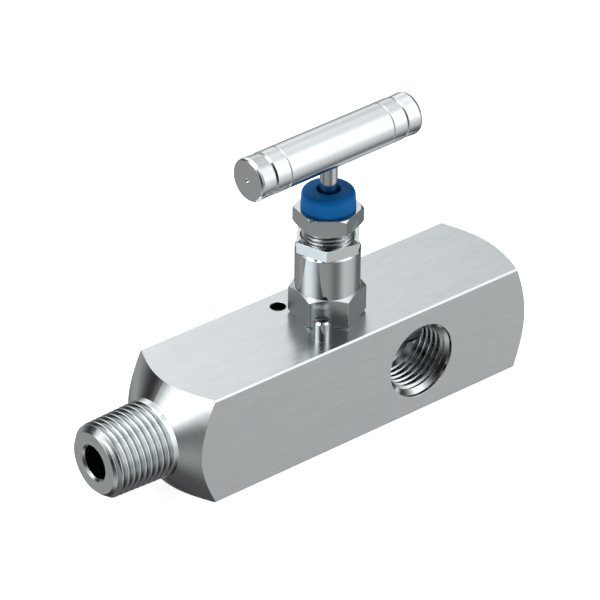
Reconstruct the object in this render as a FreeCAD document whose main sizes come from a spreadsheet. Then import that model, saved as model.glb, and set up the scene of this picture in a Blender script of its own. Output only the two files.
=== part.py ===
import FreeCAD, Part
import math
import os
import Sketcher

# Needle valve, gauge-root pattern, in a square stainless bar.
# Frame: +Z up along the stem, +X along the flow, -Y towards the front outlet.
# Origin: on the flat base of the bar, straight under the stem. Millimetres.

os.makedirs("parts", exist_ok=True)
doc = FreeCAD.newDocument("needle_valve")

# ---------------------------------------------------------------- driving sizes

SIZES = {
    # square bar
    "bar_side": 32.0,
    "axis_height": 16.0,
    "edge_break": 0.4,
    "bar_corner_radius": 22.3,
    # inlet nose and 1/2-14 taper thread
    "shoulder_start": 50.7,
    "shoulder_end": 58.8,
    "collar_radius": 10.87,
    "collar_end": 60.2,
    "inlet_bevel": 1.8,
    "inlet_face_radius": 8.6,
    "inlet_end": 78.4,
    "thread_pitch": 1.814,
    "thread_depth": 1.15,
    "inlet_bore_radius": 4.65,
    "inlet_bore_end": 35.0,
    "inlet_bore_break": 0.6,
    # outlet end
    "outlet_shoulder": 54.5,
    "outlet_end": 58.2,
    "outlet_face_radius": 15.3,
    # tapped ports
    "port_x": 20.2,
    "port_mouth_radius": 10.95,
    "port_mouth_depth": 1.0,
    "port_thread_radius": 9.3,
    "port_depth": 14.4,
    "cross_bore_radius": 6.0,
    "end_bore_radius": 4.65,
    # passages
    "passage_radius": 2.0,
    "passage_floor": 4.4,
    "gallery_radius": 2.5,
    "gallery_height": 17.3,
    # bonnet socket, chamber and seat pocket
    "socket_radius": 8.0,
    "socket_floor": 20.0,
    "chamber_radius": 5.5,
    "chamber_floor": 13.0,
    "seat_pocket_radius": 4.5,
    "seat_pocket_floor": 9.5,
    # lock pin
    "pin_x": 9.7,
    "pin_y": 9.55,
    "spare_hole_x": 8.9,
    "spare_hole_y": 9.9,
    "pin_hole_radius": 2.25,
    "pin_hole_depth": 8.0,
    "pin_head_radius": 2.38,
    "pin_head_height": 5.8,
    # seat
    "seat_gasket_thickness": 0.6,
    "seat_mouth_radius": 3.1,
    "orifice_radius": 1.9,
    # needle
    "needle_radius": 3.3,
    "needle_top": 23.6,
    "needle_gap": 0.05,
    "needle_point_radius": 1.2,
    "needle_socket_radius": 2.0,
    "needle_socket_floor": 18.0,
    "ball_radius": 1.2,
    "retainer_height": 22.0,
    "retainer_wire_radius": 0.35,
    # stem
    "stem_radius": 2.4,
    "stem_spigot_radius": 1.9,
    "stem_thread_radius": 4.0,
    "stem_thread_start": 24.0,
    "stem_thread_end": 32.0,
    "stem_pitch": 1.0,
    "stem_thread_depth": 0.5,
    "running_gap": 0.05,
    # bonnet
    "seal_ring_thickness": 1.0,
    "bonnet_hex_flats": 18.2,
    "bonnet_hex_top": 40.8,
    "bonnet_hex_angle": 23.0,
    "barrel_radius": 8.9,
    "barrel_top": 52.8,
    "back_seat": 36.0,
    "packing_floor": 38.8,
    "packing_radius": 5.4,
    "bolt_bore_start": 46.4,
    # packing
    "washer_thickness": 0.8,
    "packing_ring_height": 1.5,
    # packing bolt
    "bolt_bottom": 47.0,
    "bolt_thread_radius": 7.0,
    "bolt_pitch": 1.25,
    "bolt_thread_depth": 0.65,
    "bolt_hex_bottom": 60.1,
    "bolt_hex_top": 64.7,
    "bolt_hex_angle": 20.0,
    "bolt_bore_radius": 2.7,
    "bolt_spigot_radius": 6.0,
    "bolt_spigot_top": 66.5,
    "wiper_floor": 64.0,
    "wiper_radius": 4.2,
    # lock nut
    "nut_flats": 16.5,
    "nut_height": 3.2,
    "nut_angle": 49.0,
    # dust cap
    "cap_base_radius": 7.43,
    "cap_top_radius": 7.15,
    "cap_top": 70.0,
    "cap_round": 1.5,
    "cap_hole_radius": 3.3,
    # handle
    "handle_height": 82.9,
    "handle_length": 56.0,
    "handle_radius": 6.0,
    "handle_end_radius": 6.05,
    "handle_neck_radius": 5.65,
    "handle_end_length": 5.0,
    "handle_band_length": 10.1,
    "handle_line_width": 0.3,
    "handle_line_depth": 0.2,
    "handle_round": 0.5,
    "handle_hole_depth": 9.5,
    "handle_angle": 1.8,
    "screw_radius": 2.0,
    "screw_key_radius": 1.15,
}

sheet = doc.addObject("Spreadsheet::Sheet", "Sizes")
for row, (alias, value) in enumerate(SIZES.items(), start=1):
    sheet.set(f"A{row}", alias)
    sheet.set(f"B{row}", str(value))
    sheet.setAlias(f"B{row}", alias)
doc.recompute()

HEX_CORNER = 1 / math.sqrt(3)   # corner radius of a hexagon with flats 1 apart
HEX_BEVEL = math.tan(math.radians(30))
TAPER = 1 / 32                  # radius gained per length of a taper pipe thread
TAPER_ANGLE = math.degrees(math.atan(TAPER))
NEEDLE_SLOPE = math.tan(math.radians(30))


class Size:
    """A number together with the sheet formula that it comes from."""

    def __init__(self, number, formula):
        self.number = number
        self.formula = formula

    def join(self, other, sign, number):
        return Size(number, f"({self.formula} {sign} {as_size(other).formula})")

    def __add__(self, other):
        return self.join(other, "+", self.number + as_size(other).number)

    def __sub__(self, other):
        return self.join(other, "-", self.number - as_size(other).number)

    def __mul__(self, other):
        return self.join(other, "*", self.number * as_size(other).number)

    def __truediv__(self, other):
        return self.join(other, "/", self.number / as_size(other).number)

    def __neg__(self):
        return Size(-self.number, f"(-1 * {self.formula})")


def as_size(value):
    if isinstance(value, Size):
        return value
    return Size(float(value), f"({float(value):.6f})")


def size(alias):
    return Size(SIZES[alias], f"Sizes.{alias}")


# ---------------------------------------------------------------- modelling tools

SUBPARTS = []
ORIGIN = (0, 0, 0)


def new_body(label, height=0):
    """An empty body; its placement lifts it to the given height."""
    body = doc.addObject("PartDesign::Body", label)
    body.Label = label
    lift = as_size(height)
    body.Placement = FreeCAD.Placement(FreeCAD.Vector(0, 0, lift.number), FreeCAD.Rotation())
    body.setExpression("Placement.Base.z", lift.formula)
    SUBPARTS.append(body)
    return body


def attach(feature, body, role, offset, turn):
    """Put a sketch or primitive on one of the body's own origin planes."""
    plane = next(f for f in body.Origin.OriginFeatures if f.Role == role)
    feature.AttachmentSupport = [(plane, "")]
    feature.MapMode = "FlatFace"
    offset = [as_size(value) for value in offset]
    turn = as_size(turn)
    base = FreeCAD.Vector(*[value.number for value in offset])
    rotation = FreeCAD.Rotation(FreeCAD.Vector(0, 0, 1), turn.number)
    feature.AttachmentOffset = FreeCAD.Placement(base, rotation)
    for letter, value in zip("xyz", offset):
        feature.setExpression(f"AttachmentOffset.Base.{letter}", value.formula)


def outline(body, name, role, points, offset=ORIGIN, turn=0):
    """A closed polygon whose corners are all bound to the sheet."""
    sketch = body.newObject("Sketcher::SketchObject", name)
    attach(sketch, body, role, offset, turn)
    corners = [(as_size(x), as_size(y)) for x, y in points]
    vectors = [FreeCAD.Vector(x.number, y.number, 0) for x, y in corners]
    count = len(corners)
    for index in range(count):
        edge = Part.LineSegment(vectors[index], vectors[(index + 1) % count])
        sketch.addGeometry(edge, False)
    for index in range(count):
        sketch.addConstraint(Sketcher.Constraint("Coincident", index, 2, (index + 1) % count, 1))
    for index, (x, y) in enumerate(corners):
        for kind, value in (("DistanceX", x), ("DistanceY", y)):
            number = sketch.addConstraint(Sketcher.Constraint(kind, -1, 1, index, 1, value.number))
            sketch.setExpression(f"Constraints[{number}]", value.formula)
    return sketch


def circle(body, name, role, centre, radius, offset=ORIGIN):
    """A circle whose centre and radius are bound to the sheet."""
    sketch = body.newObject("Sketcher::SketchObject", name)
    attach(sketch, body, role, offset, 0)
    x, y = (as_size(value) for value in centre)
    radius = as_size(radius)
    middle = FreeCAD.Vector(x.number, y.number, 0)
    sketch.addGeometry(Part.Circle(middle, FreeCAD.Vector(0, 0, 1), radius.number), False)
    bound = (
        (Sketcher.Constraint("DistanceX", -1, 1, 0, 3, x.number), x),
        (Sketcher.Constraint("DistanceY", -1, 1, 0, 3, y.number), y),
        (Sketcher.Constraint("Radius", 0, radius.number), radius),
    )
    for constraint, value in bound:
        number = sketch.addConstraint(constraint)
        sketch.setExpression(f"Constraints[{number}]", value.formula)
    return sketch


def revolve(body, kind, sketch, axis="V_Axis"):
    """Turn a sketch about one of its own axes: Revolution adds, Groove cuts."""
    feature = body.newObject(f"PartDesign::{kind}", f"{sketch.Name}_{kind}")
    feature.Profile = (sketch, [""])
    feature.ReferenceAxis = (sketch, [axis])
    feature.Angle = 360
    doc.recompute()
    return feature


def turned(label, points, height=0):
    """A piece turned about Z from one closed outline of (radius, height) corners."""
    body = new_body(label, height)
    revolve(body, "Revolution", outline(body, f"{label}_outline", "XZ_Plane", points))
    return body


def ring(label, inner, outer, thickness, height):
    """A plain flat ring."""
    points = [(inner, 0), (outer, 0), (outer, thickness), (inner, thickness)]
    return turned(label, points, height)


def prism(body, kind, name, radius, length, role="XY_Plane", offset=ORIGIN, turn=0):
    """A hexagonal prism that the body gains or loses."""
    feature = body.newObject(f"PartDesign::{kind}", name)
    attach(feature, body, role, offset, 0)
    feature.Polygon = 6
    bound = (("Circumradius", as_size(radius)), ("Height", as_size(length)))
    for key, value in bound:
        setattr(feature, key, value.number)
        feature.setExpression(key, value.formula)
    turn = as_size(turn)
    placement = feature.AttachmentOffset
    rotation = FreeCAD.Rotation(FreeCAD.Vector(0, 0, 1), turn.number)
    feature.AttachmentOffset = FreeCAD.Placement(placement.Base, rotation)
    doc.recompute()
    return feature


def bevel_corners(body, name, flats, reach, top, bottom=None):
    """Cut 30 degree bevels on a hexagon's corners, from reach times its flats outwards."""
    inner = flats * reach
    outer = flats * HEX_CORNER + 1
    drop = (outer - inner) * HEX_BEVEL
    for side, face, way in (("low", bottom, 1), ("high", top, -1)):
        if face is None:
            continue
        face = as_size(face)
        points = [(inner, face), (outer, face), (outer, face + drop * way)]
        revolve(body, "Groove", outline(body, f"{name}_{side}", "XZ_Plane", points))


def thread_groove(body, name, role, offset, start, crest, depth, pitch, length,
                  angle=0, flip=False, turn=0):
    """A helical groove about the sketch's horizontal axis; depth is signed outwards."""
    start = as_size(start)
    crest = as_size(crest)
    clear = crest - as_size(depth) * 0.1
    root = crest + depth
    half = as_size(pitch) * 0.44
    flat = as_size(pitch) * 0.05
    points = [(start - half, clear), (start + half, clear), (start + flat, root), (start - flat, root)]
    sketch = outline(body, f"{name}_profile", role, points, offset, turn)
    helix = body.newObject("PartDesign::SubtractiveHelix", name)
    helix.Profile = (sketch, [""])
    helix.ReferenceAxis = (sketch, ["H_Axis"])
    helix.Mode = "pitch-height-angle"
    helix.Angle = angle
    helix.Reversed = flip
    for key, value in (("Pitch", as_size(pitch)), ("Height", as_size(length))):
        setattr(helix, key, value.number)
        helix.setExpression(key, value.formula)
    doc.recompute()
    return helix


# ---------------------------------------------------------------- valve body

def port_outline(face, floor, way, bore, bore_end):
    """Half section of a tapped port, from its mouth at face inwards along way."""
    mouth_radius = size("port_mouth_radius")
    start_radius = size("port_thread_radius")
    mouth = face - size("port_mouth_depth") * way
    thread_start = mouth - (mouth_radius - start_radius) * way
    thread_end = face - size("port_depth") * way
    end_radius = start_radius - size("port_depth") * TAPER
    tip = thread_end - (end_radius - bore) * HEX_BEVEL * way
    return [
        (face + way, 0),
        (face + way, mouth_radius),
        (mouth, mouth_radius),
        (thread_start, start_radius),
        (thread_end, end_radius),
        (tip, bore),
        (bore_end, bore),
        (bore_end, 0),
    ]


def build_valve_body():
    body = new_body("valve_body")
    axis = (0, size("axis_height"), 0)
    half = size("bar_side") / 2
    inlet = -size("inlet_end")
    outlet = size("outlet_end")

    square = [(-half, 0), (half, 0), (half, size("bar_side")), (-half, size("bar_side"))]
    sketch = outline(body, "bar_section", "YZ_Plane", square, (0, 0, inlet))
    bar = body.newObject("PartDesign::Pad", "bar")
    bar.Profile = (sketch, [""])
    length = outlet - inlet
    bar.Length = length.number
    bar.setExpression("Length", length.formula)
    doc.recompute()

    # break the four long edges
    long_edges = [
        f"Edge{number}"
        for number, edge in enumerate(bar.Shape.Edges, start=1)
        if edge.Length > length.number - 1
    ]
    chamfer = body.newObject("PartDesign::Chamfer", "bar_edges")
    chamfer.Base = (bar, long_edges)
    chamfer.Size = SIZES["edge_break"]
    chamfer.setExpression("Size", "Sizes.edge_break")
    doc.recompute()

    # turn the inlet nose: conical shoulder, plain collar, taper blank and end bevel
    collar = size("collar_radius")
    nose_radius = collar - (size("inlet_end") - size("collar_end")) * TAPER
    clear = size("bar_corner_radius") + 4
    bevel = size("inlet_bevel")
    nose = [
        (inlet - 1, size("inlet_face_radius")),
        (inlet, size("inlet_face_radius")),
        (inlet + bevel, nose_radius + bevel * TAPER),
        (-size("collar_end"), collar),
        (-size("shoulder_end"), collar),
        (-size("shoulder_start"), size("bar_corner_radius")),
        (-size("shoulder_start") + 2, clear),
        (inlet - 1, clear),
    ]
    revolve(body, "Groove", outline(body, "nose", "XZ_Plane", nose, axis), "H_Axis")

    # bevel the outlet end
    tail = [
        (outlet + 1, size("outlet_face_radius")),
        (outlet, size("outlet_face_radius")),
        (size("outlet_shoulder"), size("bar_corner_radius")),
        (size("outlet_shoulder") - 2, clear),
        (outlet + 1, clear),
    ]
    revolve(body, "Groove", outline(body, "tail", "XZ_Plane", tail, axis), "H_Axis")

    # inlet bore with a broken mouth and a drill point
    bore = size("inlet_bore_radius")
    bore_end = -size("inlet_bore_end")
    bore_break = size("inlet_bore_break")
    inlet_bore = [
        (inlet - 1, 0),
        (inlet - 1, bore + bore_break + 1),
        (inlet + bore_break, bore),
        (bore_end, bore),
        (bore_end + bore * HEX_BEVEL, 0),
    ]
    revolve(body, "Groove", outline(body, "inlet_bore", "XZ_Plane", inlet_bore, axis), "H_Axis")

    # slanted passage from the inlet bore to below the seat
    run = size("inlet_bore_end").number
    fall = size("axis_height").number - size("passage_floor").number
    slope = -math.degrees(math.atan2(fall, run))
    reach = size("inlet_bore_end") * (math.hypot(run, fall) / run) + 1.8
    slant = [(0, 0), (reach, 0), (reach, size("passage_radius")), (0, size("passage_radius"))]
    start = (bore_end, size("axis_height"), 0)
    sketch = outline(body, "slant", "XZ_Plane", slant, start, slope)
    revolve(body, "Groove", sketch, "H_Axis")

    # bonnet socket, chamber, seat pocket and orifice
    top = size("bar_side")
    stack = [
        (0, top + 1),
        (size("socket_radius") + 1.4, top + 1),
        (size("socket_radius"), top - 0.4),
        (size("socket_radius"), size("socket_floor")),
        (size("chamber_radius"), size("socket_floor")),
        (size("chamber_radius"), size("chamber_floor")),
        (size("seat_pocket_radius"), size("chamber_floor")),
        (size("seat_pocket_radius"), size("seat_pocket_floor")),
        (size("passage_radius"), size("seat_pocket_floor")),
        (size("passage_radius"), size("passage_floor")),
        (0, size("passage_floor")),
    ]
    revolve(body, "Groove", outline(body, "stack", "XZ_Plane", stack))

    # front and rear outlets, joined by a cross bore
    port_axis = (0, size("axis_height"), size("port_x"))
    cross = size("cross_bore_radius")
    front = port_outline(-half, 0, -1, cross, 0.5)
    rear = port_outline(half, 0, 1, cross, -0.5)
    for name, points in (("front_port", front), ("rear_port", rear)):
        revolve(body, "Groove", outline(body, name, "YZ_Plane", points, port_axis), "H_Axis")

    # end outlet
    end = port_outline(outlet, 0, 1, size("end_bore_radius"), size("port_x"))
    revolve(body, "Groove", outline(body, "end_port", "XZ_Plane", end, axis), "H_Axis")

    # gallery from the chamber to the outlets
    gallery_axis = (0, size("gallery_height"), 0)
    gallery_radius = size("gallery_radius")
    gallery = [(0, 0), (size("port_x"), 0), (size("port_x"), gallery_radius), (0, gallery_radius)]
    sketch = outline(body, "gallery", "XZ_Plane", gallery, gallery_axis)
    revolve(body, "Groove", sketch, "H_Axis")

    # the pair of lock pin holes
    holes = (
        ("front_pin_hole", (-size("pin_x"), -size("pin_y"))),
        ("spare_pin_hole", (-size("spare_hole_x"), size("spare_hole_y"))),
    )
    for name, centre in holes:
        sketch = circle(body, name, "XY_Plane", centre, size("pin_hole_radius"), (0, 0, top))
        hole = body.newObject("PartDesign::Pocket", f"{name}_pocket")
        hole.Profile = (sketch, [""])
        hole.Length = SIZES["pin_hole_depth"]
        hole.setExpression("Length", "Sizes.pin_hole_depth")
        doc.recompute()

    # taper threads: one male, three tapped
    pitch = size("thread_pitch")
    depth = size("thread_depth")
    lead = pitch * 0.7
    male_start = inlet - lead
    male_crest = nose_radius - lead * TAPER
    male_run = size("inlet_end") - size("collar_end") + pitch * 0.35
    thread_groove(body, "inlet_thread", "XZ_Plane", axis, male_start, male_crest,
                  -depth, pitch, male_run, TAPER_ANGLE)
    tapped_crest = size("port_thread_radius")
    tapped_run = size("port_depth") - pitch
    thread_groove(body, "front_thread", "YZ_Plane", port_axis, -half, tapped_crest,
                  depth, pitch, tapped_run, -TAPER_ANGLE)
    thread_groove(body, "rear_thread", "YZ_Plane", port_axis, half, tapped_crest,
                  depth, pitch, tapped_run, -TAPER_ANGLE, True)
    thread_groove(body, "end_thread", "XZ_Plane", axis, outlet, tapped_crest,
                  depth, pitch, tapped_run, -TAPER_ANGLE, True)


# ---------------------------------------------------------------- seat and needle

def build_seat():
    floor = size("seat_pocket_floor")
    gasket = size("seat_gasket_thickness")
    outer = size("seat_pocket_radius") - 0.02
    ring("seat_gasket", size("orifice_radius") + 0.7, outer, gasket, floor)
    height = size("chamber_floor") - floor - gasket
    mouth = size("seat_mouth_radius")
    orifice = size("orifice_radius")
    cone = (mouth - orifice) / NEEDLE_SLOPE
    points = [(orifice, 0), (outer, 0), (outer, height), (mouth, height), (orifice, height - cone)]
    turned("seat_ring", points, floor + gasket)


def build_needle():
    seat_top = size("chamber_floor")
    gap_radius = size("seat_mouth_radius") - size("needle_gap")
    point = size("needle_point_radius")
    radius = size("needle_radius")
    tip = seat_top - (gap_radius - point) / NEEDLE_SLOPE
    shoulder = seat_top + (radius - gap_radius) / NEEDLE_SLOPE
    top = size("needle_top")
    socket = size("needle_socket_radius")
    floor = size("needle_socket_floor")
    wire = size("retainer_height")
    slot = size("retainer_wire_radius") + 0.05
    slot_radius = socket + 0.4
    points = [
        (0, tip),
        (point, tip),
        (radius, shoulder),
        (radius, top - 0.3),
        (radius - 0.3, top),
        (socket, top),
        (socket, wire + slot),
        (slot_radius, wire + slot),
        (slot_radius, wire - slot),
        (socket, wire - slot),
        (socket, floor),
        (0, floor),
    ]
    turned("needle_tip", points)

    ball = doc.addObject("Part::Sphere", "thrust_ball")
    centre = floor + size("ball_radius")
    ball.Radius = SIZES["ball_radius"]
    ball.setExpression("Radius", "Sizes.ball_radius")
    ball.Placement.Base.z = centre.number
    ball.setExpression("Placement.Base.z", centre.formula)
    SUBPARTS.append(ball)

    # wire ring that hangs the needle on the stem's spigot
    retainer = doc.addObject("Part::Torus", "needle_retaining_ring")
    major = socket - 0.025
    for key, value in (("Radius1", major), ("Radius2", size("retainer_wire_radius"))):
        setattr(retainer, key, value.number)
        retainer.setExpression(key, value.formula)
    retainer.Placement.Base.z = wire.number
    retainer.setExpression("Placement.Base.z", wire.formula)
    SUBPARTS.append(retainer)


# ---------------------------------------------------------------- stem and handle

def build_stem():
    spigot = size("stem_spigot_radius")
    spigot_end = size("needle_socket_floor") + size("ball_radius") * 2 + 0.03
    wire = size("retainer_height")
    slot = size("retainer_wire_radius") + 0.1
    slot_radius = spigot - 0.35
    thread = size("stem_thread_radius")
    low = size("stem_thread_start")
    high = size("stem_thread_end")
    shaft = size("stem_radius")
    top = size("handle_height") + size("handle_hole_depth") - size("handle_radius") - 0.1
    points = [
        (0, spigot_end),
        (spigot, spigot_end),
        (spigot, wire - slot),
        (slot_radius, wire - slot),
        (slot_radius, wire + slot),
        (spigot, wire + slot),
        (spigot, low),
        (thread - 0.5, low),
        (thread, low + 0.5),
        (thread, high - 1.4),
        (shaft, high),
        (shaft, top - 0.3),
        (shaft - 0.3, top),
        (0, top),
    ]
    body = turned("stem", points)
    pitch = size("stem_pitch")
    thread_groove(body, "stem_thread", "XZ_Plane", ORIGIN, low - pitch, thread,
                  -size("stem_thread_depth"), pitch, high - low - pitch * 0.5, turn=90)


def build_handle():
    angle = SIZES["handle_angle"]
    swing = FreeCAD.Rotation(FreeCAD.Vector(0, 0, 1), angle)
    half = size("handle_length") / 2
    body_radius = size("handle_radius")
    end_radius = size("handle_end_radius")
    neck_radius = size("handle_neck_radius")
    rounding = size("handle_round")
    line = size("handle_line_width") / 2
    sink = size("handle_line_depth")

    handle = new_body("t_handle", size("handle_height"))
    handle.Placement = FreeCAD.Placement(handle.Placement.Base, swing)
    handle.setExpression("Placement.Rotation.Angle", "Sizes.handle_angle")

    # one end of the bar's half section, from the middle outwards
    end_line = half - size("handle_end_length")
    band_line = half - size("handle_band_length")
    right = [
        (band_line - line, body_radius),
        (band_line, body_radius - sink),
        (band_line + line, body_radius),
        (end_line - line * 4, body_radius),
        (end_line, neck_radius),
        (end_line + line, neck_radius + sink),
        (half - rounding * 2, end_radius),
        (half - rounding * 0.7, end_radius - rounding * 0.3),
        (half, end_radius - rounding),
        (half, 0.7),
        (half - 0.7, 0),
    ]
    left = [(-x if isinstance(x, Size) else x, y) for x, y in reversed(right)]
    revolve(handle, "Revolution", outline(handle, "bar_half", "XZ_Plane", left + right), "H_Axis")

    # blind hole for the stem, from below
    depth = size("handle_hole_depth")
    fit = size("stem_radius") + 0.02
    stem_hole = [
        (0, -body_radius - 1),
        (fit + 1, -body_radius - 1),
        (fit + 1, -body_radius),
        (fit, -body_radius + 0.5),
        (fit, depth - body_radius),
        (0, depth - body_radius),
    ]
    revolve(handle, "Groove", outline(handle, "stem_hole", "XZ_Plane", stem_hole))

    # tapped hole for the set screw, on the rear side
    screw = size("screw_radius")
    screw_hole = [(0, 0), (body_radius + 1, 0), (body_radius + 1, screw), (0, screw)]
    revolve(handle, "Groove", outline(handle, "screw_hole", "YZ_Plane", screw_hole), "H_Axis")

    # cup-point set screw, with a hexagon key socket
    grub = new_body("handle_set_screw", size("handle_height"))
    grub.Placement = FreeCAD.Placement(grub.Placement.Base, swing)
    grub.setExpression("Placement.Rotation.Angle", "Sizes.handle_angle")
    tip = size("stem_radius") + 0.04
    back = body_radius - 0.9
    radius = screw - 0.02
    points = [(tip, 0), (tip, 0.9), (tip + 0.8, radius), (back - 0.3, radius), (back, radius - 0.3), (back, 0)]
    revolve(grub, "Revolution", outline(grub, "grub_half", "YZ_Plane", points), "H_Axis")
    prism(grub, "SubtractivePrism", "key_socket", size("screw_key_radius"), 1.6,
          "XZ_Plane", (0, 0, -back))


# ---------------------------------------------------------------- bonnet and packing

def build_bonnet():
    body = new_body("bonnet")
    gap = size("running_gap")
    flats = size("bonnet_hex_flats")
    top = size("bar_side")
    hex_top = size("bonnet_hex_top")
    prism(body, "AdditivePrism", "hexagon", flats * HEX_CORNER, hex_top - top,
          offset=(0, 0, top), turn=size("bonnet_hex_angle"))
    bevel_corners(body, "bonnet_bevel", flats, 0.495, hex_top, top)

    barrel = size("barrel_radius")
    barrel_top = size("barrel_top")
    shank = size("socket_radius") - gap
    foot = size("socket_floor") + size("seal_ring_thickness")
    outer = [
        (0, foot),
        (shank - 0.5, foot),
        (shank, foot + 0.5),
        (shank, top),
        (shank, hex_top),
        (barrel, hex_top),
        (barrel, barrel_top - 0.4),
        (barrel - 0.4, barrel_top),
        (0, barrel_top),
    ]
    revolve(body, "Revolution", outline(body, "bonnet_outer", "XZ_Plane", outer))

    stem = size("stem_radius") + gap
    thread = size("stem_thread_radius") + gap
    back_seat = size("back_seat")
    packing_floor = size("packing_floor")
    packing = size("packing_radius")
    bolt_start = size("bolt_bore_start")
    bolt = size("bolt_thread_radius") + gap
    inner = [
        (0, foot - 1),
        (thread, foot - 1),
        (thread, back_seat),
        (stem, back_seat + (thread - stem)),
        (stem, packing_floor),
        (packing, packing_floor),
        (packing, bolt_start),
        (bolt, bolt_start),
        (bolt, barrel_top + 1),
        (0, barrel_top + 1),
    ]
    revolve(body, "Groove", outline(body, "bonnet_inner", "XZ_Plane", inner))

    ring("bonnet_seal_ring", size("chamber_radius") + 0.1, shank - 0.1,
         size("seal_ring_thickness"), size("socket_floor"))


def build_lock_pin():
    pin = turned("bonnet_lock_pin", [
        (0, -size("pin_hole_depth") + 0.5),
        (size("pin_hole_radius") - 0.4, -size("pin_hole_depth") + 0.5),
        (size("pin_hole_radius"), -size("pin_hole_depth") + 0.9),
        (size("pin_hole_radius"), 0),
        (size("pin_head_radius"), 0),
        (size("pin_head_radius"), size("pin_head_height") - 0.5),
        (size("pin_head_radius") - 0.5, size("pin_head_height")),
        (0, size("pin_head_height")),
    ], size("bar_side"))
    for letter, value in (("x", -size("pin_x")), ("y", -size("pin_y"))):
        pin.setExpression(f"Placement.Base.{letter}", value.formula)


def build_packing():
    inner = size("stem_radius") + size("running_gap")
    outer = size("packing_radius") - 0.02
    floor = size("packing_floor")
    washer = size("washer_thickness")
    height = size("packing_ring_height")
    ring("packing_washer", inner, outer, washer, floor)
    for step, name in enumerate(("lower", "middle", "upper")):
        ring(f"packing_ring_{name}", inner, outer, height, floor + washer + height * step)
    bush_floor = floor + washer + height * 3
    bush = size("bolt_bottom") - bush_floor
    turned("gland_bush", [
        (inner, 0),
        (outer, 0),
        (outer, bush - 0.3),
        (outer - 0.3, bush),
        (inner + 0.3, bush),
        (inner, bush - 0.3),
    ], bush_floor)


def build_packing_bolt():
    body = new_body("packing_bolt")
    low = size("bolt_bottom")
    hex_low = size("bolt_hex_bottom")
    hex_top = size("bolt_hex_top")
    flats = size("nut_flats")
    prism(body, "AdditivePrism", "hexagon", flats * HEX_CORNER, hex_top - hex_low,
          offset=(0, 0, hex_low), turn=size("bolt_hex_angle"))
    bevel_corners(body, "bolt_bevel", flats, 0.53, hex_top, hex_low)

    thread = size("bolt_thread_radius")
    spigot = size("bolt_spigot_radius")
    spigot_top = size("bolt_spigot_top")
    outer = [
        (0, low),
        (thread - 0.6, low),
        (thread, low + 0.6),
        (thread, hex_low),
        (spigot, hex_low),
        (spigot, spigot_top),
        (0, spigot_top),
    ]
    revolve(body, "Revolution", outline(body, "bolt_outer", "XZ_Plane", outer))

    pitch = size("bolt_pitch")
    thread_groove(body, "bolt_thread", "XZ_Plane", ORIGIN, low - pitch, thread,
                  -size("bolt_thread_depth"), pitch, hex_low - low - pitch * 0.2, turn=90)

    bore = size("bolt_bore_radius")
    wiper = size("wiper_radius")
    wiper_floor = size("wiper_floor")
    inner = [
        (0, low - 1),
        (bore, low - 1),
        (bore, wiper_floor),
        (wiper, wiper_floor),
        (wiper, spigot_top + 1),
        (0, spigot_top + 1),
    ]
    revolve(body, "Groove", outline(body, "bolt_inner", "XZ_Plane", inner))

    ring("stem_wiper", size("stem_radius") + size("running_gap"), wiper - 0.02,
         spigot_top - wiper_floor - 0.1, wiper_floor)


def build_lock_nut():
    gap = size("running_gap")
    body = new_body("lock_nut", size("barrel_top") + gap)
    flats = size("nut_flats")
    height = size("nut_height")
    prism(body, "AdditivePrism", "hexagon", flats * HEX_CORNER, height, turn=size("nut_angle"))
    bevel_corners(body, "nut_bevel", flats, 0.555, height, 0)
    bore = size("bolt_thread_radius") + gap
    inner = [
        (0, -1),
        (bore + 1.4, -1),
        (bore, 0.4),
        (bore, height - 0.4),
        (bore + 1.4, height + 1),
        (0, height + 1),
    ]
    revolve(body, "Groove", outline(body, "nut_bore", "XZ_Plane", inner))


def build_dust_cap():
    gap = size("running_gap")
    bottom = size("bolt_hex_top") + gap
    height = size("cap_top") - bottom
    roof = size("bolt_spigot_top") - bottom + 0.1
    recess = size("bolt_spigot_radius") + gap
    hole = size("cap_hole_radius")
    base = size("cap_base_radius")
    top = size("cap_top_radius")
    body = turned("dust_cap", [
        (recess, 0),
        (base, 0),
        (top, height),
        (hole, height),
        (hole, roof),
        (recess, roof),
    ], bottom)
    blank = body.Tip
    rim = [
        f"Edge{number}"
        for number, edge in enumerate(blank.Shape.Edges, start=1)
        if isinstance(edge.Curve, Part.Circle) and abs(edge.Curve.Radius - top.number) < 1e-4
    ]
    fillet = body.newObject("PartDesign::Fillet", "cap_round")
    fillet.Base = (blank, rim)
    fillet.Radius = SIZES["cap_round"]
    fillet.setExpression("Radius", "Sizes.cap_round")
    doc.recompute()


# ---------------------------------------------------------------- build and write

def check_and_write():
    doc.recompute()
    for item in doc.Objects:
        if "Invalid" in item.State or "Error" in item.State:
            raise RuntimeError(f"{item.Label} is {item.State}")
    for part in SUBPARTS:
        shape = part.Shape
        if shape.isNull() or not shape.isValid() or len(shape.Solids) != 1:
            raise RuntimeError(f"{part.Label} has no valid single solid")
    for part in SUBPARTS:
        part.Shape.exportStep(f"parts/{part.Label}.step")
        box = part.Shape.BoundBox
        print(f"{part.Label}: {part.Shape.Volume:.1f} mm3, z {box.ZMin:.2f} to {box.ZMax:.2f}")


build_valve_body()
build_seat()
build_needle()
build_stem()
build_handle()
build_bonnet()
build_lock_pin()
build_packing()
build_packing_bolt()
build_lock_nut()
build_dust_cap()
check_and_write()
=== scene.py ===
import math

import bpy
from mathutils import Matrix, Vector


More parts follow.
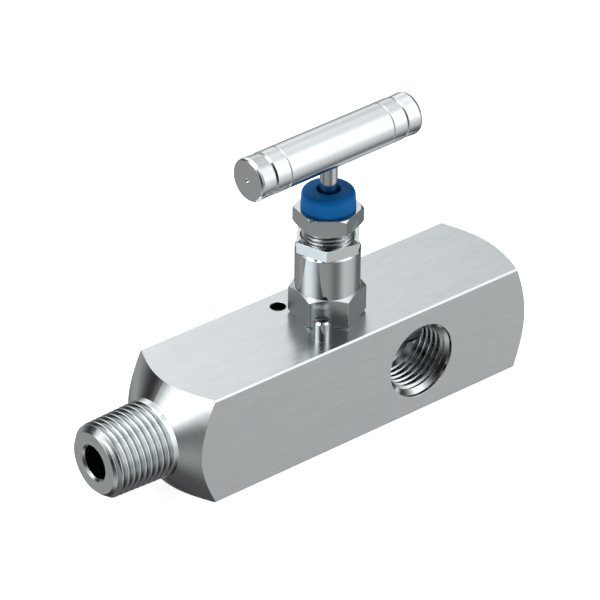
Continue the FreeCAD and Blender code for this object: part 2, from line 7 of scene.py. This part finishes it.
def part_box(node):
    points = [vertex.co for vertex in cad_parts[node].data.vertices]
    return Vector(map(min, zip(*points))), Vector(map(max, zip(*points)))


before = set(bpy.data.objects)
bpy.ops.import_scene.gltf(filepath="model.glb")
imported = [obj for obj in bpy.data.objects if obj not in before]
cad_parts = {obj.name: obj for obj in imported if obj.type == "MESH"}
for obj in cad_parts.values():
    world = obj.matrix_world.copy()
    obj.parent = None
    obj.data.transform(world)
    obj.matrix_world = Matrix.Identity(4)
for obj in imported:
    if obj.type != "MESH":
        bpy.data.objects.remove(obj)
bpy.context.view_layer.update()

# ------------------------------------------------------------ camera

CAMERA_AZIMUTH = -39.5
CAMERA_ELEVATION = 32.0
CAMERA_ROLL = 0.5
CAMERA_DISTANCE = 1.0
CAMERA_LENS = 225.4
AIM_BEFORE_STEM = 0.0094      # the aim lies this far towards the inlet from the stem
AIM_HEIGHT = 0.0391


def direction(azimuth, elevation):
    """Unit vector from the object towards that azimuth and elevation."""
    a, e = math.radians(azimuth), math.radians(elevation)
    return Vector((math.sin(a) * math.cos(e), -math.cos(a) * math.cos(e), math.sin(e)))


def build_camera():
    """A long lens, set in front of the valve towards its inlet."""
    camera = bpy.data.objects.new("camera", bpy.data.cameras.new("camera"))
    bpy.context.collection.objects.link(camera)
    camera.data.lens = CAMERA_LENS
    camera.data.clip_start = 0.05
    back = direction(CAMERA_AZIMUTH, CAMERA_ELEVATION)
    aim = Vector((-AIM_BEFORE_STEM, 0, AIM_HEIGHT))
    turn = (-back).to_track_quat("-Z", "Y").to_matrix().to_4x4()
    roll = Matrix.Rotation(math.radians(CAMERA_ROLL), 4, "Z")
    camera.matrix_world = Matrix.Translation(aim + back * CAMERA_DISTANCE) @ turn @ roll
    bpy.context.scene.camera = camera


# ------------------------------------------------------------ node helpers

def wire(tree, kind, inputs=(), output=0, **settings):
    """Adds one shader node; each input is a number, colour or another node's socket."""
    node = tree.nodes.new(f"ShaderNode{kind}")
    for key, value in settings.items():
        setattr(node, key, value)
    for key, value in dict(inputs).items():
        if isinstance(value, bpy.types.NodeSocket):
            tree.links.new(value, node.inputs[key])
        else:
            node.inputs[key].default_value = value
    return node.outputs[output]


def maths(tree, operation, a, b=0.0):
    """One arithmetic node on numbers or sockets."""
    return wire(tree, "Math", {0: a, 1: b}, operation=operation)


def distance(tree, a, b):
    """Length of the flat vector whose sides are a and b."""
    squares = [maths(tree, "MULTIPLY", side, side) for side in (a, b)]
    return maths(tree, "SQRT", maths(tree, "ADD", *squares))


def smooth(tree, value, low, high, out_low=0.0, out_high=1.0):
    """Smooth step of value from low to high."""
    inputs = {"Value": value, "From Min": low, "From Max": high, "To Min": out_low, "To Max": out_high}
    return wire(tree, "MapRange", inputs, interpolation_type="SMOOTHSTEP")


def split(tree, vector):
    """The X, Y and Z outputs of a vector."""
    node = tree.nodes.new("ShaderNodeSeparateXYZ")
    tree.links.new(vector, node.inputs[0])
    return node.outputs


def scaled(tree, vector, scale):
    """A vector stretched axis by axis."""
    return wire(tree, "VectorMath", {0: vector, 1: scale}, operation="MULTIPLY")


def noise(tree, vector, scale, detail):
    """Fractal noise from 0 to 1."""
    return wire(tree, "TexNoise", {"Vector": vector, "Scale": scale, "Detail": detail})


def mix_value(tree, factor, a, b):
    """a where factor is 0, b where it is 1."""
    return wire(tree, "MapRange", {"Value": factor, "To Min": a, "To Max": b})


def mix_colour(tree, factor, a, b):
    """Colour a where factor is 0, b where it is 1."""
    return wire(tree, "Mix", {6: a, 7: b, 0: factor}, output=2, data_type="RGBA")


# ------------------------------------------------------------ studio

FLOOR_SIZE = 6.0
FLOOR_PAINT = (0.9, 0.9, 0.9, 1)
FLOOR_ROUGHNESS = 0.9
FLOOR_GLOW = 0.8
KEY_LEFT = 60                 # degrees to the left of the camera
KEY_ELEVATION = 60
KEY_DISTANCE = 1.2
KEY_SIZE = 0.7
KEY_POWER = 6
# The studio is black but for these soft boxes. Each one has its degrees to the right of the camera,
# its elevation, its brightness, and how sharply it fades off its middle.
SOFT_BOXES = {
    # behind: the bar's top mirrors these, brighter towards the inlet
    "behind_high": (-170, 65, 1.8, 12),
    "behind_level": (-165, 25, 1.6, 20),
    # left: the white glint on the shoulder and the thread, and the stripe down the barrel
    "left_key": (-55, 15, 2.9, 26),
    "left_stripe": (-80, 30, 1.6, 30),
    "left_high": (-75, 50, 0.5, 12),
    # right: the handle, the hexagons' right facets and the bar's front edge
    "right_key": (70, 15, 1.1, 14),
    "right_edge": (85, 40, 1.2, 18),
    "right_level": (80, 0, 0.8, 18),
    "right_high": (65, 55, 0.8, 14),
    "overhead": (125, 70, 0.9, 10),
    # under the horizon: the bar's front, the barrel's right stripe and the nose's end face
    "right_low": (95, -25, 0.6, 14),
    "right_stripe": (60, -30, 0.6, 20),
    "front_low": (0, -50, 0.7, 14),
    "left_low": (-40, -25, 0.35, 14),
    "inlet_low": (-100, -40, 0.45, 14),
    # far side: the faces that only the views from behind show
    "far_low": (170, -20, 0.4, 10),
    "far_left_low": (-140, -15, 0.4, 14),
}
AMBIENT = 0.015


def build_world():
    """A black studio with the soft boxes in it."""
    world = bpy.data.worlds.new("studio")
    world.use_nodes = True
    bpy.context.scene.world = world
    tree = world.node_tree
    tree.nodes.clear()
    ray = wire(tree, "TexCoord", output="Generated")
    level = AMBIENT
    for right, elevation, brightness, tightness in SOFT_BOXES.values():
        facing = wire(tree, "VectorMath", {0: ray, 1: direction(CAMERA_AZIMUTH + right, elevation)},
                      output="Value", operation="DOT_PRODUCT")
        falloff = maths(tree, "MULTIPLY", maths(tree, "SUBTRACT", facing, 1.0), tightness)
        lobe = maths(tree, "MULTIPLY", maths(tree, "EXPONENT", falloff), brightness)
        level = maths(tree, "ADD", lobe, level)
    colour = wire(tree, "CombineColor", {"Red": level, "Green": level, "Blue": level})
    background = wire(tree, "Background", {"Color": colour, "Strength": 1.0})
    output = tree.nodes.new("ShaderNodeOutputWorld")
    tree.links.new(background, output.inputs["Surface"])


def build_floor():
    """A plain pale floor with a soft glow, which the metal doesn't mirror."""
    mesh = bpy.data.meshes.new("floor")
    half = FLOOR_SIZE / 2
    mesh.from_pydata([(-half, -half, 0), (half, -half, 0), (half, half, 0), (-half, half, 0)], [],
                     [(0, 1, 2, 3)])
    floor = bpy.data.objects.new("floor", mesh)
    bpy.context.collection.objects.link(floor)
    material = bpy.data.materials.new("floor_paint")
    material.use_nodes = True
    shader = material.node_tree.nodes["Principled BSDF"]
    shader.inputs["Base Color"].default_value = FLOOR_PAINT
    shader.inputs["Roughness"].default_value = FLOOR_ROUGHNESS
    shader.inputs["Emission Color"].default_value = (1, 1, 1, 1)
    shader.inputs["Emission Strength"].default_value = FLOOR_GLOW
    mesh.materials.append(material)
    floor.visible_glossy = False


def build_key_light():
    """A square area lamp that faces the bar's base under the stem."""
    light = bpy.data.lights.new("key_light", "AREA")
    light.shape = "RECTANGLE"
    light.size = KEY_SIZE
    light.size_y = KEY_SIZE
    light.energy = KEY_POWER
    lamp = bpy.data.objects.new("key_light", light)
    bpy.context.collection.objects.link(lamp)
    away = direction(CAMERA_AZIMUTH - KEY_LEFT, KEY_ELEVATION)
    turn = (-away).to_track_quat("-Z", "Y").to_matrix().to_4x4()
    lamp.matrix_world = Matrix.Translation(away * KEY_DISTANCE) @ turn


def build_studio():
    """Everything round the valve."""
    build_world()
    build_floor()
    build_key_light()


# ------------------------------------------------------------ materials

STEEL_TINT = (0.945, 1.0, 1.02)
COPPER_TINT = (0.95, 0.52, 0.34)
CAP_BLUE = (0.001, 0.095, 0.29)
PTFE_WHITE = (0.82, 0.82, 0.8)
RUBBER_BLACK = (0.015, 0.015, 0.016)

# roughness, in a mark of the tool and beside it
SATIN = (0.19, 0.32)          # the bar's flats
BUFFED = (0.18, 0.30)         # their spot round the bonnet
LATHE = (0.07, 0.12)          # the bar's turned nose, bevels and ports
MILLED = (0.24, 0.36)         # the bonnet's hexagon
POLISHED = (0.04, 0.08)
TURNED = (0.2, 0.32)
GROUND = (0.10, 0.18)
HANDLE_SATIN = (0.16, 0.24)
OXIDE = (0.35, 0.5)
COPPER = (0.3, 0.45)

ROUNDING_SAMPLES = 6
WEAR_AND_HIGHLIGHT_START = 0.995                # how well the rounded and true normals agree where wear and the painted highlight begin
WEAR_AND_HIGHLIGHT_FULL = 0.86                   # and where it is full
# Edges get a lighter base colour: partly edge wear, partly a painted highlight.
WEAR_AND_HIGHLIGHT_BRIGHTNESS = 1.6
WEAR_AND_HIGHLIGHT_SHARE = 0.9
# Painted shade: the base colour darkens in thread roots, grooves and corners, after ambient occlusion.
PAINTED_SHADE_SAMPLES = 8
PAINTED_SHADE_REACH = 0.0012
FULLY_SHADED_OPENNESS = 0.1                   # openness of a corner with full painted shade
UNSHADED_OPENNESS = 0.75                  # and with none
PAINTED_SHADE_DARKEST = 0.3

FINE_SCRATCHES = (220, 2400, 2400)    # noise cells to a metre, along the bar and across it
SOFT_SCRATCHES = (60, 260, 260)
SOFT_SHARE = 0.35
LATHE_MARKS = (3200, 3200, 0)         # along the axis and outwards from it
SMUDGES = 220.0
SMUDGE_SHARE = 0.3
BAR_BUMP = 0.000009
BAR_EDGE_RADIUS = 0.0003
SKIN = 0.0005                 # how deep the flats' finish reaches from the bar's outer faces
FLAT_LEAN = 0.5               # a face that leans less than this along the bar is a flat
TURNED_LEAN = 0.7             # and one that leans more is turned
BUFFED_RADIUS = 0.010
BUFFED_EDGE = 0.018
BONNET_HEX_TOP = 0.0408       # height of the hexagon's top, where the bright barrel starts
FINISH_BLEND = 0.0002

CLOUDS = 120.0
PLASTIC_EDGE = 0.0002
PLASTIC_BUMP = 0.00003


def blank_material(name):
    """A new material with its node tree and its shader."""
    material = bpy.data.materials.new(name)
    material.use_nodes = True
    return material, material.node_tree, material.node_tree.nodes["Principled BSDF"]


def toned(colour, factor):
    """A colour made lighter or darker, no lighter than white, with its alpha."""
    return tuple(min(1, c * factor) for c in colour) + (1,)


def edge_wear_and_highlight_mask(tree, radius):
    """1 on the outermost part of an edge, 0 on open faces: the mask of edge wear and of a painted
    highlight.
    """
    rounded = wire(tree, "Bevel", {"Radius": radius}, samples=ROUNDING_SAMPLES)
    normal = wire(tree, "NewGeometry", output="Normal")
    match = wire(tree, "VectorMath", {0: rounded, 1: normal}, output="Value", operation="DOT_PRODUCT")
    return smooth(tree, match, WEAR_AND_HIGHLIGHT_START, WEAR_AND_HIGHLIGHT_FULL)


def with_painted_shade(tree, colour):
    """Painted shade: darkens a colour in thread roots, grooves and corners, after ambient occlusion."""
    openness = wire(tree, "AmbientOcclusion", {"Distance": PAINTED_SHADE_REACH}, output="AO",
                    samples=PAINTED_SHADE_SAMPLES, only_local=True)
    shade = smooth(tree, openness, FULLY_SHADED_OPENNESS, UNSHADED_OPENNESS, PAINTED_SHADE_DARKEST, 1.0)
    return wire(tree, "VectorMath", {0: colour, "Scale": shade}, operation="SCALE")


def turned_grain(tree, point, axis, height=0.0):
    """Lathe marks about an axis: noise that changes only with radius and along the axis."""
    x, y, z = split(tree, point)
    if axis == "X":
        along, across, other = x, y, maths(tree, "SUBTRACT", z, height)
    elif axis == "Y":
        along, across, other = y, x, maths(tree, "SUBTRACT", z, height)
    else:
        along, across, other = z, x, y
    radius = distance(tree, across, other)
    return wire(tree, "CombineXYZ", {"X": along, "Y": radius, "Z": 0.0})


def finish_metal(tree, shader, tone, tint, grain, rough, bump, edge_radius, variation=0.06):
    """Colour, roughness and bump of a metal from one grain pattern, with wear and a painted highlight
    on its edges and painted shade in its hollows; rough is two numbers or sockets.
    """
    wear_and_highlight = edge_wear_and_highlight_mask(tree, edge_radius)
    low = toned(tint, tone * (1 - variation))
    high = toned(tint, tone * (1 + variation))
    colour = mix_colour(tree, grain, low, high)
    # Painted highlight together with edge wear: the edges' base colour is made lighter.
    bright = toned(tint, tone * WEAR_AND_HIGHLIGHT_BRIGHTNESS)
    worn_and_highlit = mix_colour(tree, maths(tree, "MULTIPLY", wear_and_highlight, WEAR_AND_HIGHLIGHT_SHARE), colour, bright)
    # Painted shade in thread roots, grooves and corners.
    tree.links.new(with_painted_shade(tree, worn_and_highlit), shader.inputs["Base Color"])
    roughness = mix_value(tree, grain, rough[0], rough[1])
    tree.links.new(roughness, shader.inputs["Roughness"])
    rounded = wire(tree, "Bevel", {"Radius": edge_radius / 2}, samples=ROUNDING_SAMPLES)
    normal = wire(tree, "Bump", {"Height": grain, "Strength": 1.0, "Distance": bump, "Normal": rounded})
    tree.links.new(normal, shader.inputs["Normal"])
    shader.inputs["Metallic"].default_value = 1.0


def brushed_bar(box):
    """Bar stock: grain along the bar on its flats, lathe marks on nose, bevels and ports."""
    material, tree, shader = blank_material("brushed_bar")
    point = wire(tree, "TexCoord", output="Object")
    axis_height = (box[0].z + box[1].z) / 2
    half = box[1].y

    fine = noise(tree, scaled(tree, point, FINE_SCRATCHES), 1.0, 4.0)
    soft = noise(tree, scaled(tree, point, SOFT_SCRATCHES), 1.0, 3.0)
    flat_grain = mix_value(tree, SOFT_SHARE, fine, soft)
    rings = turned_grain(tree, point, "X", axis_height)
    lathe = noise(tree, scaled(tree, rings, LATHE_MARKS), 1.0, 3.0)

    x, y, z = split(tree, point)
    sideways = maths(tree, "ABSOLUTE", y)
    upright = maths(tree, "ABSOLUTE", maths(tree, "SUBTRACT", z, axis_height))
    outwards = maths(tree, "MAXIMUM", sideways, upright)
    skin = smooth(tree, outwards, half - SKIN * 1.5, half - SKIN)
    facing = split(tree, wire(tree, "NewGeometry", output="True Normal"))
    lean = maths(tree, "ABSOLUTE", facing["X"])
    flat = maths(tree, "MULTIPLY", skin, smooth(tree, lean, TURNED_LEAN, FLAT_LEAN))

    grain = mix_value(tree, flat, lathe, flat_grain)
    reach = distance(tree, x, y)
    top = smooth(tree, z, axis_height, box[1].z)
    buffed = maths(tree, "MULTIPLY", smooth(tree, reach, BUFFED_EDGE, BUFFED_RADIUS), top)
    rough = []
    for satin, polished, lathed in zip(SATIN, BUFFED, LATHE):
        rough.append(mix_value(tree, flat, lathed, mix_value(tree, buffed, satin, polished)))
    finish_metal(tree, shader, 0.60, STEEL_TINT, grain, rough, BAR_BUMP, BAR_EDGE_RADIUS, variation=0.16)
    return material


def turned_metal(name, tone, rough, axis="Z", height=0.0, bump=0.0000015, frequency=3500, wear_and_highlight=0.0002,
                 tint=STEEL_TINT, satin_below=None):
    """Lathe-turned metal; below satin_below, if given, it is as dull as milled flats."""
    material, tree, shader = blank_material(name)
    point = wire(tree, "TexCoord", output="Object")
    if satin_below is not None:
        height_here = split(tree, point)["Z"]
        above = smooth(tree, height_here, satin_below - FINISH_BLEND, satin_below + FINISH_BLEND)
        rough = [mix_value(tree, above, dull, value) for dull, value in zip(MILLED, rough)]
    rings = turned_grain(tree, point, axis, height)
    fine = noise(tree, scaled(tree, rings, (frequency, frequency, 0)), 1.0, 3.0)
    smudge = noise(tree, point, SMUDGES, 3.0)
    grain = mix_value(tree, SMUDGE_SHARE, fine, smudge)
    finish_metal(tree, shader, tone, tint, grain, rough, bump, wear_and_highlight)
    return material


def moulded_plastic(name, colour, rough, grain_size=0.0004, gloss=0.12):
    """Plastic or rubber with a fine grain from its mould."""
    material, tree, shader = blank_material(name)
    point = wire(tree, "TexCoord", output="Object")
    grain = noise(tree, point, 1 / grain_size, 3.0)
    cloud = noise(tree, point, CLOUDS, 2.0)
    mixed = mix_colour(tree, cloud, toned(colour, 0.88), toned(colour, 1.1))
    tree.links.new(mixed, shader.inputs["Base Color"])
    tree.links.new(mix_value(tree, grain, rough * 0.85, rough * 1.15), shader.inputs["Roughness"])
    rounded = wire(tree, "Bevel", {"Radius": PLASTIC_EDGE}, samples=ROUNDING_SAMPLES)
    inputs = {"Height": grain, "Strength": 0.6, "Distance": PLASTIC_BUMP, "Normal": rounded}
    normal = wire(tree, "Bump", inputs)
    tree.links.new(normal, shader.inputs["Normal"])
    shader.inputs["Specular IOR Level"].default_value = gloss
    return material


def give(node, material):
    """Assigns one material to a CAD node."""
    mesh_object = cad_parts[node]
    for place in mesh_object.material_slots:
        place.link = "OBJECT"
        place.material = material


def dress_nodes():
    """Gives every CAD node its material."""
    handle_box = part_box("t_handle")
    handle_height = (handle_box[0].z + handle_box[1].z) / 2
    polished = turned_metal("polished_steel", tone=0.64, rough=POLISHED)
    turned = turned_metal("turned_steel", tone=0.58, rough=TURNED)
    give("valve_body", brushed_bar(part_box("valve_body")))
    give("t_handle", turned_metal("satin_handle", tone=0.68, rough=HANDLE_SATIN, axis="X",
                                  height=handle_height, bump=0.000005, frequency=2200))
    give("bonnet", turned_metal("bonnet_steel", tone=0.64, rough=POLISHED, satin_below=BONNET_HEX_TOP))
    give("stem", turned_metal("ground_stem", tone=0.66, rough=GROUND))
    for node in ("bonnet_lock_pin", "packing_bolt", "lock_nut", "thrust_ball"):
        give(node, polished)
    for node in ("seat_ring", "needle_tip", "needle_retaining_ring", "packing_washer", "gland_bush"):
        give(node, turned)
    give("handle_set_screw", turned_metal("black_oxide", tone=0.06, rough=OXIDE, axis="Y",
                                          height=handle_height))
    give("bonnet_seal_ring", turned_metal("soft_copper", tone=0.8, rough=COPPER, tint=COPPER_TINT))
    give("dust_cap", moulded_plastic("blue_cap", CAP_BLUE, rough=0.42, gloss=0.06))
    ptfe = moulded_plastic("white_ptfe", PTFE_WHITE, rough=0.5)
    for node in ("seat_gasket", "packing_ring_lower", "packing_ring_middle", "packing_ring_upper"):
        give(node, ptfe)
    give("stem_wiper", moulded_plastic("black_rubber", RUBBER_BLACK, rough=0.7))


bpy.context.scene.view_settings.view_transform = "Standard"
build_camera()
build_studio()
dress_nodes()
